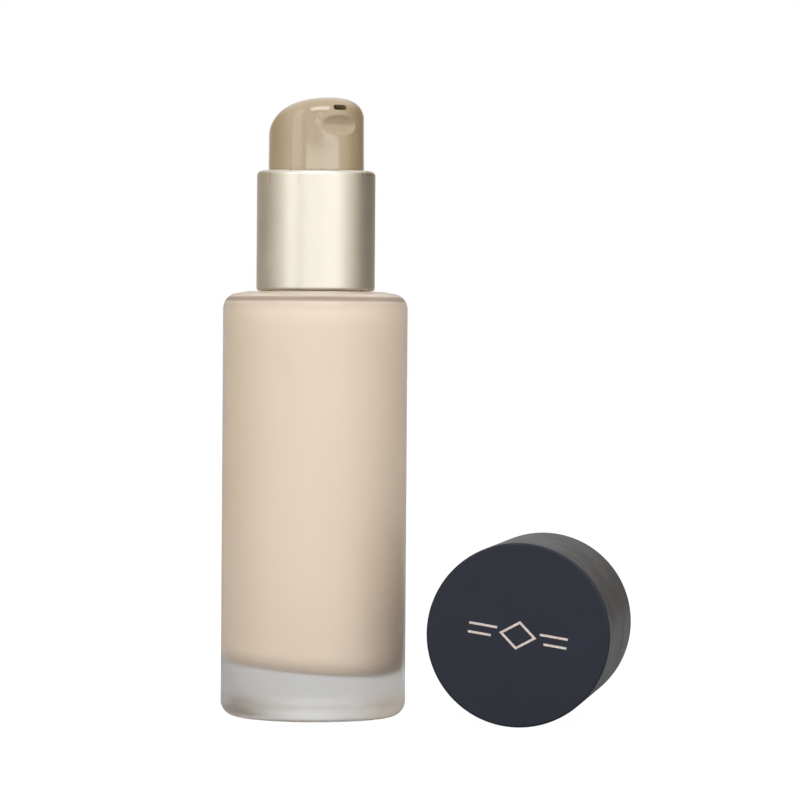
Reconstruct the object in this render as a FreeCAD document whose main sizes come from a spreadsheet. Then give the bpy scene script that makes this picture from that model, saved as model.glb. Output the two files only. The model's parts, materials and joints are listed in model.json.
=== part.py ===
"""Foundation bottle: a frosted glass bottle with a treatment pump, and its cap lying beside it.

Millimetres, +Z up, origin at the centre of the bottle's base. Every size is a cell of the sheet
"sizes", and every outline point is an expression of those cells.
"""
import FreeCAD, Part
import os
import re

import Sketcher

os.makedirs("parts", exist_ok=True)
doc = FreeCAD.newDocument("foundation_bottle")

# ---------------------------------------------------------------- driving sizes
SIZES = {
    # glass bottle
    "bottle_radius": 17.0,
    "bottle_height": 78.05,       # base to the flat crest that the neck stands on
    "crest_radius": 12.5,
    "shoulder_drop": 0.85,        # how far the shoulder falls from the crest to the side
    "heel_radius": 2.7,
    "shoulder_radius": 2.8,
    "wall_thickness": 4.0,
    "base_thickness": 7.2,        # solid glass under the floor's low side
    "floor_rise": 2.4,            # the floor slants, as pressed glass does: +X side low, -X side high
    "shoulder_wall": 2.0,
    "floor_round": 3.6,
    "roof_round": 3.5,
    "neck_radius": 7.95,
    "bore_clearance": 0.6,        # neck to the pump housing that hangs in it
    "neck_height": 10.6,
    "lip_round": 0.4,
    # single-start thread of the neck and the closure
    "thread_pitch": 3.175,
    "thread_depth": 0.9,
    "thread_root": 1.9,
    "thread_crest": 0.9,
    "neck_turns": 1.25,
    "closure_turns": 1.0,
    "thread_gap": 0.25,
    "thread_top_land": 1.2,       # plain neck above the thread
    "root_sink": 0.15,            # how deep a thread's root reaches into its wall
    # liquid
    "fill_gap": 0.05,
    "headspace": 0.6,             # air left under the roof, round the neck
    "headspace_radius": 9.8,
    # fits
    "seat_gap": 0.03,
    "running_gap": 0.05,
    "press_clearance": 0.6,       # left under the button and its boss at full stroke
    # pump
    "gasket_thickness": 0.8,
    "gasket_clearance": 0.15,
    "flange_inset": 0.05,
    "flange_thickness": 1.2,
    "housing_radius": 4.6,
    "housing_wall": 1.0,
    "housing_depth": 18.7,        # flange top to the ledge that carries the spring
    "housing_floor": 1.0,
    "rim_rise": 1.9,
    "chamber_radius": 1.7,
    "chamber_depth": 3.0,
    "cone_height": 0.9,
    "throat_radius": 1.0,
    "throat_length": 0.6,
    "tail_radius": 2.9,
    "socket_depth": 5.0,
    "nib_reach": 1.2,             # radius left free between the ball stops
    "nib_height": 0.6,
    "nib_width": 0.7,
    "nib_count": 3,
    "ball_radius": 1.5,
    "tube_radius": 1.5,
    "tube_bore": 1.0,
    "tube_clearance": 1.5,        # dip tube's end to the floor of the bottle
    "hole_clearance": 0.35,       # liquid to the tube and housing that stand in it
    "wire_radius": 0.25,
    "spring_clearance": 1.0,      # housing bore to the middle of the wire
    "spring_length": 9.5,
    "spring_turns": 6.5,
    "seat_clearance": 0.6,
    "seat_thickness": 1.0,
    "peg_height": 1.2,
    "piston_length": 3.45,
    "piston_lip": 0.65,
    "piston_waist": 0.45,         # how far the piston's middle stands back from the bore
    "piston_relief": 0.3,         # how far its bore opens above the inner lip
    "lost_motion": 0.5,           # stem travel before its shoulder meets the piston
    "stem_radius": 1.8,
    "stem_neck": 1.3,
    "stem_bore": 0.8,
    "stem_rise": 17.5,
    "port_radius": 0.35,
    "port_rise": 1.9,
    "guide_plug": 4.0,
    "guide_cap": 1.0,
    "seal_width": 0.8,
    "seal_thickness": 0.8,
    "stroke": 4.0,
    # closure and its metal sleeve
    "closure_lift": 0.95,         # shoulder crest to the closure's skirt
    "web_thickness": 1.2,
    "web_clearance": 0.3,
    "guide_wall": 0.9,
    "closure_wall": 1.15,
    "collar_height": 22.0,
    "collar_gap": 0.15,
    "sleeve_wall": 0.6,
    "collar_top_round": 0.9,
    "collar_base_round": 0.5,
    # actuator
    "lip_width": 1.8,             # how far the sleeve turns in towards the button
    "button_taper": 0.14,         # radius lost from the skirt to the top
    "button_gap": 0.27,
    "button_wall": 1.1,
    "crown_front": 13.88,         # crown above the collar, one margin outside the front rim
    "crown_back": 3.96,
    "crown_radius": 26.8,
    "crown_round": 2.9,
    "crown_margin": 0.8,
    "nozzle_angle": -58.5,        # where the nozzle points, about +Z from +X
    "slot_width": 2.75,
    "slot_height": 1.1,
    "slot_outer": 11.85,          # slot's centre above the collar, one margin outside the rim
    "slot_inner": 8.0,            # and on the axis
    "slot_round": 0.45,
    "scoop_radius": 2.4,
    "scoop_depth": 0.85,
    "scoop_rise": 8.15,
    "scoop_round": 0.6,
    "riser_radius": 0.9,
    "socket_wall": 1.4,
    "insert_plate": 3.0,
    "insert_cap": 0.5,
    # cap
    "cap_radius": 16.56,
    "cap_headroom": 1.97,         # left over the button when the cap is on
    "cap_wall": 1.6,
    "cap_end_wall": 1.5,
    "cap_edge_round": 0.4,
    "grip_gap": 0.06,
    "liner_wall": 1.0,
    "liner_recess": 1.0,
    "liner_flange": 1.2,
    "liner_length": 22.0,
    "rib_width": 1.0,
    "rib_count": 6,
    "cap_side_gap": 9.55,         # bottle to the lying cap, at its mouth
    "cap_back": 17.23,            # mouth centre behind the bottle's axis
    "cap_yaw": 8.8,               # mouth direction, clockwise from +Y seen from above
}

sheet = doc.addObject("Spreadsheet::Sheet", "sizes")
for row, (alias, value) in enumerate(SIZES.items(), start=1):
    sheet.set(f"A{row}", alias)
    sheet.set(f"B{row}", str(value))
    sheet.setAlias(f"B{row}", alias)
doc.recompute()


def bound(text):
    """An expression of plain size names, as FreeCAD reads it from the sheet."""
    return re.sub(r"[a-z_]+", lambda word: "sizes." + word[0], text)


def size(text):
    """The present value of an expression of size names."""
    return float(sheet.evalExpression(bound(text)))


# ---------------------------------------------------------------- heights, from the base up
NECK_TOP = "(bottle_height + neck_height)"
ROOF = "(bottle_height - shoulder_wall)"
CAVITY = "(bottle_radius - wall_thickness)"
NECK_BORE = "(housing_radius + bore_clearance)"
SIDE_TOP = "(bottle_height - shoulder_drop)"
THREAD_RADIUS = "(neck_radius + thread_depth)"
THREAD_START = f"({NECK_TOP} - thread_top_land - thread_root / 2 - neck_turns * thread_pitch)"
FLANGE_RADIUS = "(neck_radius - flange_inset)"
HOUSING_BORE = "(housing_radius - housing_wall)"
FLANGE_BASE = f"({NECK_TOP} + seat_gap + gasket_thickness)"
FLANGE_TOP = f"({FLANGE_BASE} + flange_thickness)"
RIM = f"({FLANGE_TOP} + rim_rise)"
GUIDE_TOP = f"({RIM} + guide_cap)"
LEDGE = f"({FLANGE_TOP} - housing_depth)"
CONE_TOP = f"({LEDGE} - chamber_depth)"
CONE_BASE = f"({CONE_TOP} - cone_height)"
SOCKET_TOP = f"({CONE_BASE} - throat_length)"
TAIL_END = f"({SOCKET_TOP} - socket_depth)"
SEAT_BASE = f"({LEDGE} + spring_length)"
SEAT_TOP = f"({SEAT_BASE} + seat_thickness)"
PISTON_BASE = f"({SEAT_TOP} + seat_gap)"
PISTON_TOP = f"({PISTON_BASE} + piston_length)"
STEM_SHOULDER = f"({PISTON_TOP} + lost_motion)"
STEM_TOP = f"({STEM_SHOULDER} + stem_rise)"
SEAL_RADIUS = "(stem_radius + seal_width)"
WEB_BASE = f"({FLANGE_TOP} + seat_gap)"
WEB_TOP = f"({WEB_BASE} + web_thickness)"
SKIRT_BASE = "(bottle_height + closure_lift)"
CLOSURE_BORE = f"({THREAD_RADIUS} + thread_gap)"
CLOSURE_RADIUS = f"({CLOSURE_BORE} + closure_wall)"
COLLAR_RADIUS = f"({CLOSURE_RADIUS} + running_gap + sleeve_wall)"
COLLAR_MOUTH = f"({COLLAR_RADIUS} - lip_width)"
COLLAR_BASE = "(bottle_height + collar_gap)"
COLLAR_TOP = f"({COLLAR_BASE} + collar_height)"
GUIDE_WALL_TOP = f"({COLLAR_TOP} - sleeve_wall - running_gap)"
BUTTON_RADIUS = f"({COLLAR_MOUTH} - button_gap)"
BUTTON_BASE = f"({WEB_TOP} + stroke + press_clearance)"
BUTTON_BORE = f"({BUTTON_RADIUS} - button_wall)"
BOSS_BASE = f"({GUIDE_TOP} + stroke + press_clearance)"
CEILING = f"({STEM_TOP} + running_gap + insert_cap)"
CROWN_EDGE = f"({BUTTON_RADIUS} + crown_margin)"
FILL_RADIUS = f"({CAVITY} - fill_gap)"
FLOOR_LOW = f"(base_thickness - floor_rise * wall_thickness / 2 / {CAVITY})"
FLOOR_HIGH = f"(2 * base_thickness + floor_rise - {FLOOR_LOW})"
CAP_BORE = "(cap_radius - cap_wall)"
CAP_LENGTH = "(collar_gap + collar_height + crown_front + cap_headroom + cap_end_wall)"
LINER_BORE = f"({COLLAR_RADIUS} + grip_gap)"
LINER_TOP = "(liner_recess + liner_length)"


# ---------------------------------------------------------------- how pieces are made
def new_body(label):
    body = doc.addObject("PartDesign::Body", label)
    body.Label = label
    return body


def plane_of(body, role):
    return next(plane for plane in body.Origin.OriginFeatures if plane.Role == role)


def new_sketch(body, role):
    sketch = body.newObject("Sketcher::SketchObject", f"{body.Label}_outline")
    sketch.AttachmentSupport = [(plane_of(body, role), "")]
    sketch.MapMode = "FlatFace"
    return sketch


def pin_point(sketch, edge, end, across, up):
    """Hold one end of an edge at (across, up), both expressions of the sheet."""
    for kind, text in (("DistanceX", across), ("DistanceY", up)):
        index = sketch.addConstraint(Sketcher.Constraint(kind, -1, 1, edge, end, size(text)))
        sketch.setExpression(f"Constraints[{index}]", bound(text))


def draw_outline(sketch, points):
    """A closed run of straight lines through points given as expressions."""
    places = [FreeCAD.Vector(size(across), size(up), 0) for across, up in points]
    edges = [sketch.addGeometry(Part.LineSegment(start, end), False)
             for start, end in zip(places, places[1:] + places[:1])]
    for edge, following in zip(edges, edges[1:] + edges[:1]):
        sketch.addConstraint(Sketcher.Constraint("Coincident", edge, 2, following, 1))
    for edge, (across, up) in zip(edges, points):
        pin_point(sketch, edge, 1, across, up)


def revolve(label, points):
    """A body of revolution about Z; points are (radius, height)."""
    body = new_body(label)
    sketch = new_sketch(body, "XZ_Plane")
    draw_outline(sketch, points)
    turned = body.newObject("PartDesign::Revolution", f"{label}_turned")
    turned.Profile = sketch
    turned.ReferenceAxis = (sketch, ["V_Axis"])
    turned.Angle = 360
    doc.recompute()
    return body


def circles_at(shape, radius, height):
    """Names of the whole-circle edges of one radius at one height."""
    near = 1e-4
    return [f"Edge{number}" for number, edge in enumerate(shape.Edges, start=1)
            if isinstance(edge.Curve, Part.Circle)
            and abs(edge.Curve.Radius - radius) < near
            and abs(edge.Curve.Center.z - height) < near]


def names_of(shape, edges):
    """Names of some edges of a shape."""
    return [f"Edge{number}" for number, edge in enumerate(shape.Edges, start=1)
            if any(edge.isSame(wanted) for wanted in edges)]


def round_edges(body, edge_names, radius):
    """A fillet on named edges of the body's last feature."""
    last = body.Tip
    fillet = body.newObject("PartDesign::Fillet", f"{body.Label}_round")
    fillet.Base = (last, edge_names)
    fillet.Radius = size(radius)
    fillet.setExpression("Radius", bound(radius))
    doc.recompute()


def round_circle(body, across, up, radius):
    """A fillet on the circular edge at (radius across, height up)."""
    names = circles_at(body.Tip.Shape, size(across), size(up))
    if not names:
        raise RuntimeError(f"{body.Label}: no edge at radius {across}, height {up}")
    round_edges(body, names, radius)


def add_thread(body, wall, crest, start, turns):
    """A ridge of trapezoid section, from just inside a wall's radius out to its crest."""
    sink = "root_sink" if size(crest) < size(wall) else "-root_sink"
    sketch = new_sketch(body, "XZ_Plane")
    draw_outline(sketch, [
        (f"{wall} + {sink}", f"{start} - thread_root / 2"),
        (crest, f"{start} - thread_crest / 2"),
        (crest, f"{start} + thread_crest / 2"),
        (f"{wall} + {sink}", f"{start} + thread_root / 2"),
    ])
    ridge = body.newObject("PartDesign::AdditiveHelix", f"{body.Label}_thread")
    ridge.Profile = sketch
    ridge.ReferenceAxis = (sketch, ["V_Axis"])
    ridge.Mode = "pitch-turns-angle"
    ridge.Angle = 0
    ridge.setExpression("Pitch", bound("thread_pitch"))
    ridge.setExpression("Turns", bound(turns))
    doc.recompute()


def pad_pattern(body, points, base, depth, count):
    """A pad of an XY outline from a base height up, repeated round Z."""
    sketch = new_sketch(body, "XY_Plane")
    sketch.setExpression("AttachmentOffset.Base.z", bound(base))
    draw_outline(sketch, points)
    pad = body.newObject("PartDesign::Pad", f"{body.Label}_pad")
    pad.Profile = sketch
    pad.Length = size(depth)
    pad.setExpression("Length", bound(depth))
    doc.recompute()
    pattern = body.newObject("PartDesign::PolarPattern", f"{body.Label}_pattern")
    pattern.Originals = [pad]
    pattern.Axis = (sketch, ["N_Axis"])
    pattern.Angle = 360
    pattern.setExpression("Occurrences", bound(count))
    body.Tip = pattern
    doc.recompute()


def pocket_across(body, sketch, width):
    """A pocket both ways from the XZ plane; it must remove material."""
    before = body.Tip.Shape.Volume
    pocket = body.newObject("PartDesign::Pocket", f"{body.Label}_pocket")
    pocket.Profile = sketch
    pocket.Midplane = True
    pocket.Length = size(width)
    pocket.setExpression("Length", bound(width))
    doc.recompute()
    if pocket.Shape.Volume > before - 1e-3:
        raise RuntimeError(f"{body.Label}: a pocket removed nothing")


# ---------------------------------------------------------------- bottle
def slant_floor(body, gap, corner):
    """Cut the foot of a body of revolution to the slanting floor, and round its rim."""
    wedge = new_sketch(body, "XZ_Plane")
    draw_outline(wedge, [
        ("-bottle_radius", "0"),
        ("bottle_radius", "0"),
        ("bottle_radius", f"{FLOOR_LOW} + {gap}"),
        ("-bottle_radius", f"{FLOOR_HIGH} + {gap}"),
    ])
    pocket_across(body, wedge, "3 * bottle_radius")
    floors = [face for face in body.Tip.Shape.Faces if isinstance(face.Surface, Part.Plane)
              and abs(face.Surface.Axis.x) > 1e-3 and abs(face.Surface.Axis.z) > 1e-3]
    rim = max(floors[0].Edges, key=lambda edge: edge.BoundBox.XLength)
    round_edges(body, names_of(body.Tip.Shape, [rim]), corner)


def make_cavity():
    """The space inside the bottle, as a solid that is cut from the glass."""
    cavity = revolve("cavity", [
        ("0", "base_thickness / 2"),
        (CAVITY, "base_thickness / 2"),
        (CAVITY, ROOF),
        (NECK_BORE, ROOF),
        (NECK_BORE, NECK_TOP),
        ("0", NECK_TOP),
    ])
    slant_floor(cavity, "0", "floor_round")
    round_circle(cavity, CAVITY, ROOF, "roof_round")
    return cavity


def make_glass_bottle():
    bottle = revolve("glass_bottle", [
        ("0", "0"),
        ("bottle_radius", "0"),
        ("bottle_radius", SIDE_TOP),
        ("crest_radius", "bottle_height"),
        ("neck_radius", "bottle_height"),
        ("neck_radius", NECK_TOP),
        ("0", NECK_TOP),
    ])
    round_circle(bottle, "bottle_radius", "0", "heel_radius")
    round_circle(bottle, "bottle_radius", SIDE_TOP, "shoulder_radius")
    hollow = bottle.newObject("PartDesign::Boolean", "glass_bottle_hollow")
    hollow.Type = "Cut"
    hollow.setObjects([make_cavity()])
    doc.recompute()
    for across in ("neck_radius", NECK_BORE):
        round_circle(bottle, across, NECK_TOP, "lip_round")
    add_thread(bottle, "neck_radius", THREAD_RADIUS, THREAD_START, "neck_turns")
    return bottle


def make_foundation_fill():
    """The liquid, with clear holes for the dip tube, the pump's tail and its housing."""
    fill = revolve("foundation_fill", [
        ("tube_radius + hole_clearance", "base_thickness / 2"),
        (FILL_RADIUS, "base_thickness / 2"),
        (FILL_RADIUS, f"{ROOF} - fill_gap"),
        ("housing_radius + hole_clearance", f"{ROOF} - fill_gap"),
        ("housing_radius + hole_clearance", f"{LEDGE} - housing_floor - hole_clearance"),
        ("tail_radius + hole_clearance", f"{LEDGE} - housing_floor - hole_clearance"),
        ("tail_radius + hole_clearance", f"{TAIL_END} - hole_clearance"),
        ("tube_radius + hole_clearance", f"{TAIL_END} - hole_clearance"),
    ])
    slant_floor(fill, "fill_gap", "floor_round - fill_gap")
    round_circle(fill, FILL_RADIUS, f"{ROOF} - fill_gap", "roof_round - fill_gap")
    headspace = new_sketch(fill, "XZ_Plane")
    draw_outline(headspace, [
        ("0", f"{ROOF} - headspace"),
        ("headspace_radius - headspace", f"{ROOF} - headspace"),
        ("headspace_radius", ROOF),
        ("0", ROOF),
    ])
    before = fill.Tip.Shape.Volume
    level = fill.newObject("PartDesign::Groove", "foundation_fill_level")
    level.Profile = headspace
    level.ReferenceAxis = (headspace, ["V_Axis"])
    level.Angle = 360
    doc.recompute()
    if level.Shape.Volume > before - 1e-3:
        raise RuntimeError("foundation_fill: the headspace removed nothing")
    return fill


# ---------------------------------------------------------------- pump, fixed pieces
def make_pump_housing():
    socket_radius = "(tube_radius + seat_gap)"
    housing = revolve("pump_housing", [
        (HOUSING_BORE, RIM),
        (HOUSING_BORE, LEDGE),
        ("chamber_radius", LEDGE),
        ("chamber_radius", CONE_TOP),
        ("throat_radius", CONE_BASE),
        ("throat_radius", SOCKET_TOP),
        (socket_radius, SOCKET_TOP),
        (socket_radius, TAIL_END),
        ("tail_radius", TAIL_END),
        ("tail_radius", f"{LEDGE} - housing_floor"),
        ("housing_radius", f"{LEDGE} - housing_floor"),
        ("housing_radius", FLANGE_BASE),
        (FLANGE_RADIUS, FLANGE_BASE),
        (FLANGE_RADIUS, FLANGE_TOP),
        ("housing_radius", FLANGE_TOP),
        ("housing_radius", RIM),
    ])
    # three stops keep the ball in its chamber
    pad_pattern(housing, [
        ("nib_reach", "-nib_width / 2"),
        ("chamber_radius + root_sink", "-nib_width / 2"),
        ("chamber_radius + root_sink", "nib_width / 2"),
        ("nib_reach", "nib_width / 2"),
    ], f"{LEDGE} - nib_height", "nib_height", "nib_count")
    return housing


def make_neck_gasket():
    base = f"({NECK_TOP} + seat_gap)"
    return revolve("neck_gasket", [
        ("housing_radius + gasket_clearance", base),
        (FLANGE_RADIUS, base),
        (FLANGE_RADIUS, FLANGE_BASE),
        ("housing_radius + gasket_clearance", FLANGE_BASE),
    ])


def make_dip_tube():
    foot = "(base_thickness + floor_rise / 2 + tube_clearance)"
    return revolve("dip_tube", [
        ("tube_bore", foot),
        ("tube_radius", foot),
        ("tube_radius", SOCKET_TOP),
        ("tube_bore", SOCKET_TOP),
    ])


def make_stem_guide():
    """Snaps into the housing's rim, guides the stem and holds its seal."""
    plug_base = f"({RIM} - guide_plug)"
    plug_radius = f"({HOUSING_BORE} - seat_gap)"
    stem_hole = "(stem_radius + running_gap)"
    seal_pocket = f"({SEAL_RADIUS} + seat_gap)"
    return revolve("stem_guide", [
        (seal_pocket, plug_base),
        (plug_radius, plug_base),
        (plug_radius, RIM),
        ("housing_radius", RIM),
        ("housing_radius", GUIDE_TOP),
        (stem_hole, GUIDE_TOP),
        (stem_hole, f"{plug_base} + seal_thickness"),
        (seal_pocket, f"{plug_base} + seal_thickness"),
    ])


def make_stem_seal():
    plug_base = f"({RIM} - guide_plug)"
    lip = "(stem_radius + seat_gap)"
    return revolve("stem_seal", [
        (lip, plug_base),
        (SEAL_RADIUS, plug_base),
        (SEAL_RADIUS, f"{plug_base} + seal_thickness"),
        (lip, f"{plug_base} + seal_thickness"),
    ])


def make_return_spring():
    """A wire coil between the housing's ledge and the piston seat."""
    spring = new_body("return_spring")
    wire = new_sketch(spring, "XZ_Plane")
    start = f"({LEDGE} + wire_radius + seat_gap)"
    centre = FreeCAD.Vector(size(f"{HOUSING_BORE} - spring_clearance"), size(start), 0)
    circle = wire.addGeometry(
        Part.Circle(centre, FreeCAD.Vector(0, 0, 1), size("wire_radius")), False)
    pin_point(wire, circle, 3, f"{HOUSING_BORE} - spring_clearance", start)
    index = wire.addConstraint(Sketcher.Constraint("Radius", circle, size("wire_radius")))
    wire.setExpression(f"Constraints[{index}]", bound("wire_radius"))
    coil = spring.newObject("PartDesign::AdditiveHelix", "return_spring_coil")
    coil.Profile = wire
    coil.ReferenceAxis = (wire, ["V_Axis"])
    coil.Mode = "height-turns-angle"
    coil.Angle = 0
    coil.setExpression("Height", bound("spring_length - 2 * wire_radius - 2 * seat_gap"))
    coil.setExpression("Turns", bound("spring_turns"))
    doc.recompute()
    return spring


# ---------------------------------------------------------------- pump, moving pieces
def make_check_ball():
    """Rests in the conical seat, a seat gap clear of its wall."""
    ball = doc.addObject("Part::Sphere", "check_ball")
    ball.Label = "check_ball"
    ball.setExpression("Radius", bound("ball_radius"))
    spread = size("chamber_radius - throat_radius")
    slant = (spread ** 2 + size("cone_height") ** 2) ** 0.5
    reach = size("ball_radius + seat_gap") - size("throat_radius") * size("cone_height") / slant
    height = size(CONE_BASE) + reach * slant / spread
    ball.Placement.Base = FreeCAD.Vector(0, 0, height)
    doc.recompute()
    return ball


def make_piston_seat():
    """Disc pressed into the stem's lower end; the piston seals on it."""
    peg = "(stem_bore - seat_gap)"
    return revolve("piston_seat", [
        ("0", SEAT_BASE),
        (f"{HOUSING_BORE} - seat_clearance", SEAT_BASE),
        (f"{HOUSING_BORE} - seat_clearance", SEAT_TOP),
        (peg, SEAT_TOP),
        (peg, f"{SEAT_TOP} + peg_height"),
        ("0", f"{SEAT_TOP} + peg_height"),
    ])


def make_piston():
    """Two sealing lips outside, one inside at the bottom."""
    skirt = f"({HOUSING_BORE} - running_gap)"
    waist = f"({skirt} - piston_waist)"
    inner_lip = "(stem_neck + running_gap)"
    relief = f"({inner_lip} + piston_relief)"
    return revolve("piston", [
        (inner_lip, PISTON_BASE),
        (skirt, PISTON_BASE),
        (skirt, f"{PISTON_BASE} + piston_lip"),
        (waist, f"{PISTON_BASE} + 2 * piston_lip"),
        (waist, f"{PISTON_TOP} - 2 * piston_lip"),
        (skirt, f"{PISTON_TOP} - piston_lip"),
        (skirt, PISTON_TOP),
        (relief, PISTON_TOP),
        (relief, f"{PISTON_BASE} + piston_lip"),
        (inner_lip, f"{PISTON_BASE} + piston_lip"),
    ])


def make_stem():
    """Hollow stem with a cross port above the piston seat."""
    stem = revolve("stem", [
        ("stem_bore", SEAT_TOP),
        ("stem_neck", SEAT_TOP),
        ("stem_neck", STEM_SHOULDER),
        ("stem_radius", STEM_SHOULDER),
        ("stem_radius", STEM_TOP),
        ("stem_bore", STEM_TOP),
    ])
    port = new_sketch(stem, "XZ_Plane")
    height = f"({SEAT_TOP} + port_rise)"
    circle = port.addGeometry(
        Part.Circle(FreeCAD.Vector(0, size(height), 0), FreeCAD.Vector(0, 0, 1), size("port_radius")),
        False)
    pin_point(port, circle, 3, "0", height)
    index = port.addConstraint(Sketcher.Constraint("Radius", circle, size("port_radius")))
    port.setExpression(f"Constraints[{index}]", bound("port_radius"))
    pocket_across(stem, port, "3 * stem_radius")
    return stem


# ---------------------------------------------------------------- closure
def make_screw_closure():
    """Threaded skirt, the web that clamps the pump, and the wall that backs the sleeve."""
    guide_bore = f"({CLOSURE_RADIUS} - guide_wall)"
    web_hole = "(housing_radius + web_clearance)"
    closure = revolve("screw_closure", [
        (CLOSURE_BORE, SKIRT_BASE),
        (CLOSURE_RADIUS, SKIRT_BASE),
        (CLOSURE_RADIUS, GUIDE_WALL_TOP),
        (guide_bore, GUIDE_WALL_TOP),
        (guide_bore, WEB_TOP),
        (web_hole, WEB_TOP),
        (web_hole, WEB_BASE),
        (CLOSURE_BORE, WEB_BASE),
    ])
    round_circle(closure, CLOSURE_RADIUS, GUIDE_WALL_TOP, "collar_top_round - sleeve_wall")
    add_thread(closure, CLOSURE_BORE, "(neck_radius + thread_gap)",
               f"({THREAD_START} - thread_pitch / 2)", "closure_turns")
    return closure


def make_collar_sleeve():
    """Drawn metal sleeve, its top turned in towards the button."""
    inner = f"({COLLAR_RADIUS} - sleeve_wall)"
    sleeve = revolve("collar_sleeve", [
        (inner, COLLAR_BASE),
        (COLLAR_RADIUS, COLLAR_BASE),
        (COLLAR_RADIUS, COLLAR_TOP),
        (COLLAR_MOUTH, COLLAR_TOP),
        (COLLAR_MOUTH, f"{COLLAR_TOP} - sleeve_wall"),
        (inner, f"{COLLAR_TOP} - sleeve_wall"),
    ])
    round_circle(sleeve, COLLAR_RADIUS, COLLAR_TOP, "collar_top_round")
    round_circle(sleeve, inner, f"{COLLAR_TOP} - sleeve_wall", "collar_top_round - sleeve_wall")
    round_circle(sleeve, COLLAR_RADIUS, COLLAR_BASE, "collar_base_round")
    return sleeve


# ---------------------------------------------------------------- actuator
def turn_to_nozzle(body):
    """The nozzle is drawn along +X and then turned to where it points."""
    body.Placement.Rotation = FreeCAD.Rotation(FreeCAD.Vector(0, 0, 1), size("nozzle_angle"))


def cut_crown(button):
    """Cut the top to an arc that climbs from the back to the nozzle."""
    sketch = new_sketch(button, "XZ_Plane")
    back = (f"-{CROWN_EDGE}", f"{COLLAR_TOP} + crown_back")
    front = (CROWN_EDGE, f"{COLLAR_TOP} + crown_front")
    above = f"{COLLAR_TOP} + 2 * crown_front"
    start = FreeCAD.Vector(size(back[0]), size(back[1]), 0)
    end = FreeCAD.Vector(size(front[0]), size(front[1]), 0)
    half_chord = (end - start).Length / 2
    rise = (size("crown_radius") ** 2 - half_chord ** 2) ** 0.5
    upward = FreeCAD.Vector(start.y - end.y, end.x - start.x, 0).normalize()
    crest = (start + end) / 2 + upward * (size("crown_radius") - rise)
    arc = sketch.addGeometry(Part.Arc(end, crest, start), False)
    corners = [start, FreeCAD.Vector(start.x, size(above), 0), FreeCAD.Vector(end.x, size(above), 0), end]
    lines = [sketch.addGeometry(Part.LineSegment(near, far), False)
             for near, far in zip(corners, corners[1:])]
    sketch.addConstraint(Sketcher.Constraint("Coincident", arc, 2, lines[0], 1))
    sketch.addConstraint(Sketcher.Constraint("Coincident", lines[0], 2, lines[1], 1))
    sketch.addConstraint(Sketcher.Constraint("Coincident", lines[1], 2, lines[2], 1))
    sketch.addConstraint(Sketcher.Constraint("Coincident", lines[2], 2, arc, 1))
    pin_point(sketch, lines[0], 1, *back)
    pin_point(sketch, lines[1], 1, back[0], above)
    pin_point(sketch, lines[2], 1, front[0], above)
    pin_point(sketch, lines[2], 2, *front)
    index = sketch.addConstraint(Sketcher.Constraint("Radius", arc, size("crown_radius")))
    sketch.setExpression(f"Constraints[{index}]", bound("crown_radius"))
    pocket_across(button, sketch, f"3 * {BUTTON_RADIUS}")


def cylinder_edges(shape, radius):
    """Names of the edges of the shape's cylindrical faces of one radius."""
    faces = [face for face in shape.Faces if isinstance(face.Surface, Part.Cylinder)
             and abs(face.Surface.Radius - size(radius)) < 1e-4]
    return names_of(shape, [edge for face in faces for edge in face.Edges])


def slot_corners(shape):
    """Names of the four edges that run along the slot."""
    half_width = size("slot_width / 2")
    return [f"Edge{number}" for number, edge in enumerate(shape.Edges, start=1)
            if isinstance(edge.Curve, Part.Line)
            and abs(abs(edge.BoundBox.YMin) - half_width) < 1e-4 and edge.BoundBox.YLength < 1e-4
            and edge.BoundBox.XLength > half_width]


def make_actuator_button():
    """Tapered button with a climbing crown, a flat slot nozzle and a scoop under it."""
    top_radius = f"({BUTTON_RADIUS} - button_taper)"
    riser_top = f"{COLLAR_TOP} + slot_inner"
    button = revolve("actuator_button", [
        (BUTTON_BORE, BUTTON_BASE),
        (BUTTON_RADIUS, BUTTON_BASE),
        (top_radius, f"{COLLAR_TOP} + crown_front + crown_margin"),
        ("0", f"{COLLAR_TOP} + crown_front + crown_margin"),
        ("0", riser_top),
        ("riser_radius", riser_top),
        ("riser_radius", CEILING),
        (BUTTON_BORE, CEILING),
    ])
    cut_crown(button)
    round_edges(button, cylinder_edges(button.Tip.Shape, "crown_radius"), "crown_round")
    scoop = new_sketch(button, "XZ_Plane")
    centre = (f"{BUTTON_RADIUS} - scoop_depth + scoop_radius", f"{COLLAR_TOP} + scoop_rise")
    circle = scoop.addGeometry(
        Part.Circle(FreeCAD.Vector(size(centre[0]), size(centre[1]), 0),
                    FreeCAD.Vector(0, 0, 1), size("scoop_radius")), False)
    pin_point(scoop, circle, 3, *centre)
    index = scoop.addConstraint(Sketcher.Constraint("Radius", circle, size("scoop_radius")))
    scoop.setExpression(f"Constraints[{index}]", bound("scoop_radius"))
    pocket_across(button, scoop, f"2 * {BUTTON_RADIUS}")
    round_edges(button, cylinder_edges(button.Tip.Shape, "scoop_radius"), "scoop_round")
    slot = new_sketch(button, "XZ_Plane")
    draw_outline(slot, [
        ("0", f"{COLLAR_TOP} + slot_inner - slot_height / 2"),
        (CROWN_EDGE, f"{COLLAR_TOP} + slot_outer - slot_height / 2"),
        (CROWN_EDGE, f"{COLLAR_TOP} + slot_outer + slot_height / 2"),
        ("0", f"{COLLAR_TOP} + slot_inner + slot_height / 2"),
    ])
    pocket_across(button, slot, "slot_width")
    round_edges(button, slot_corners(button.Tip.Shape), "slot_round")
    turn_to_nozzle(button)
    return button


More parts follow.
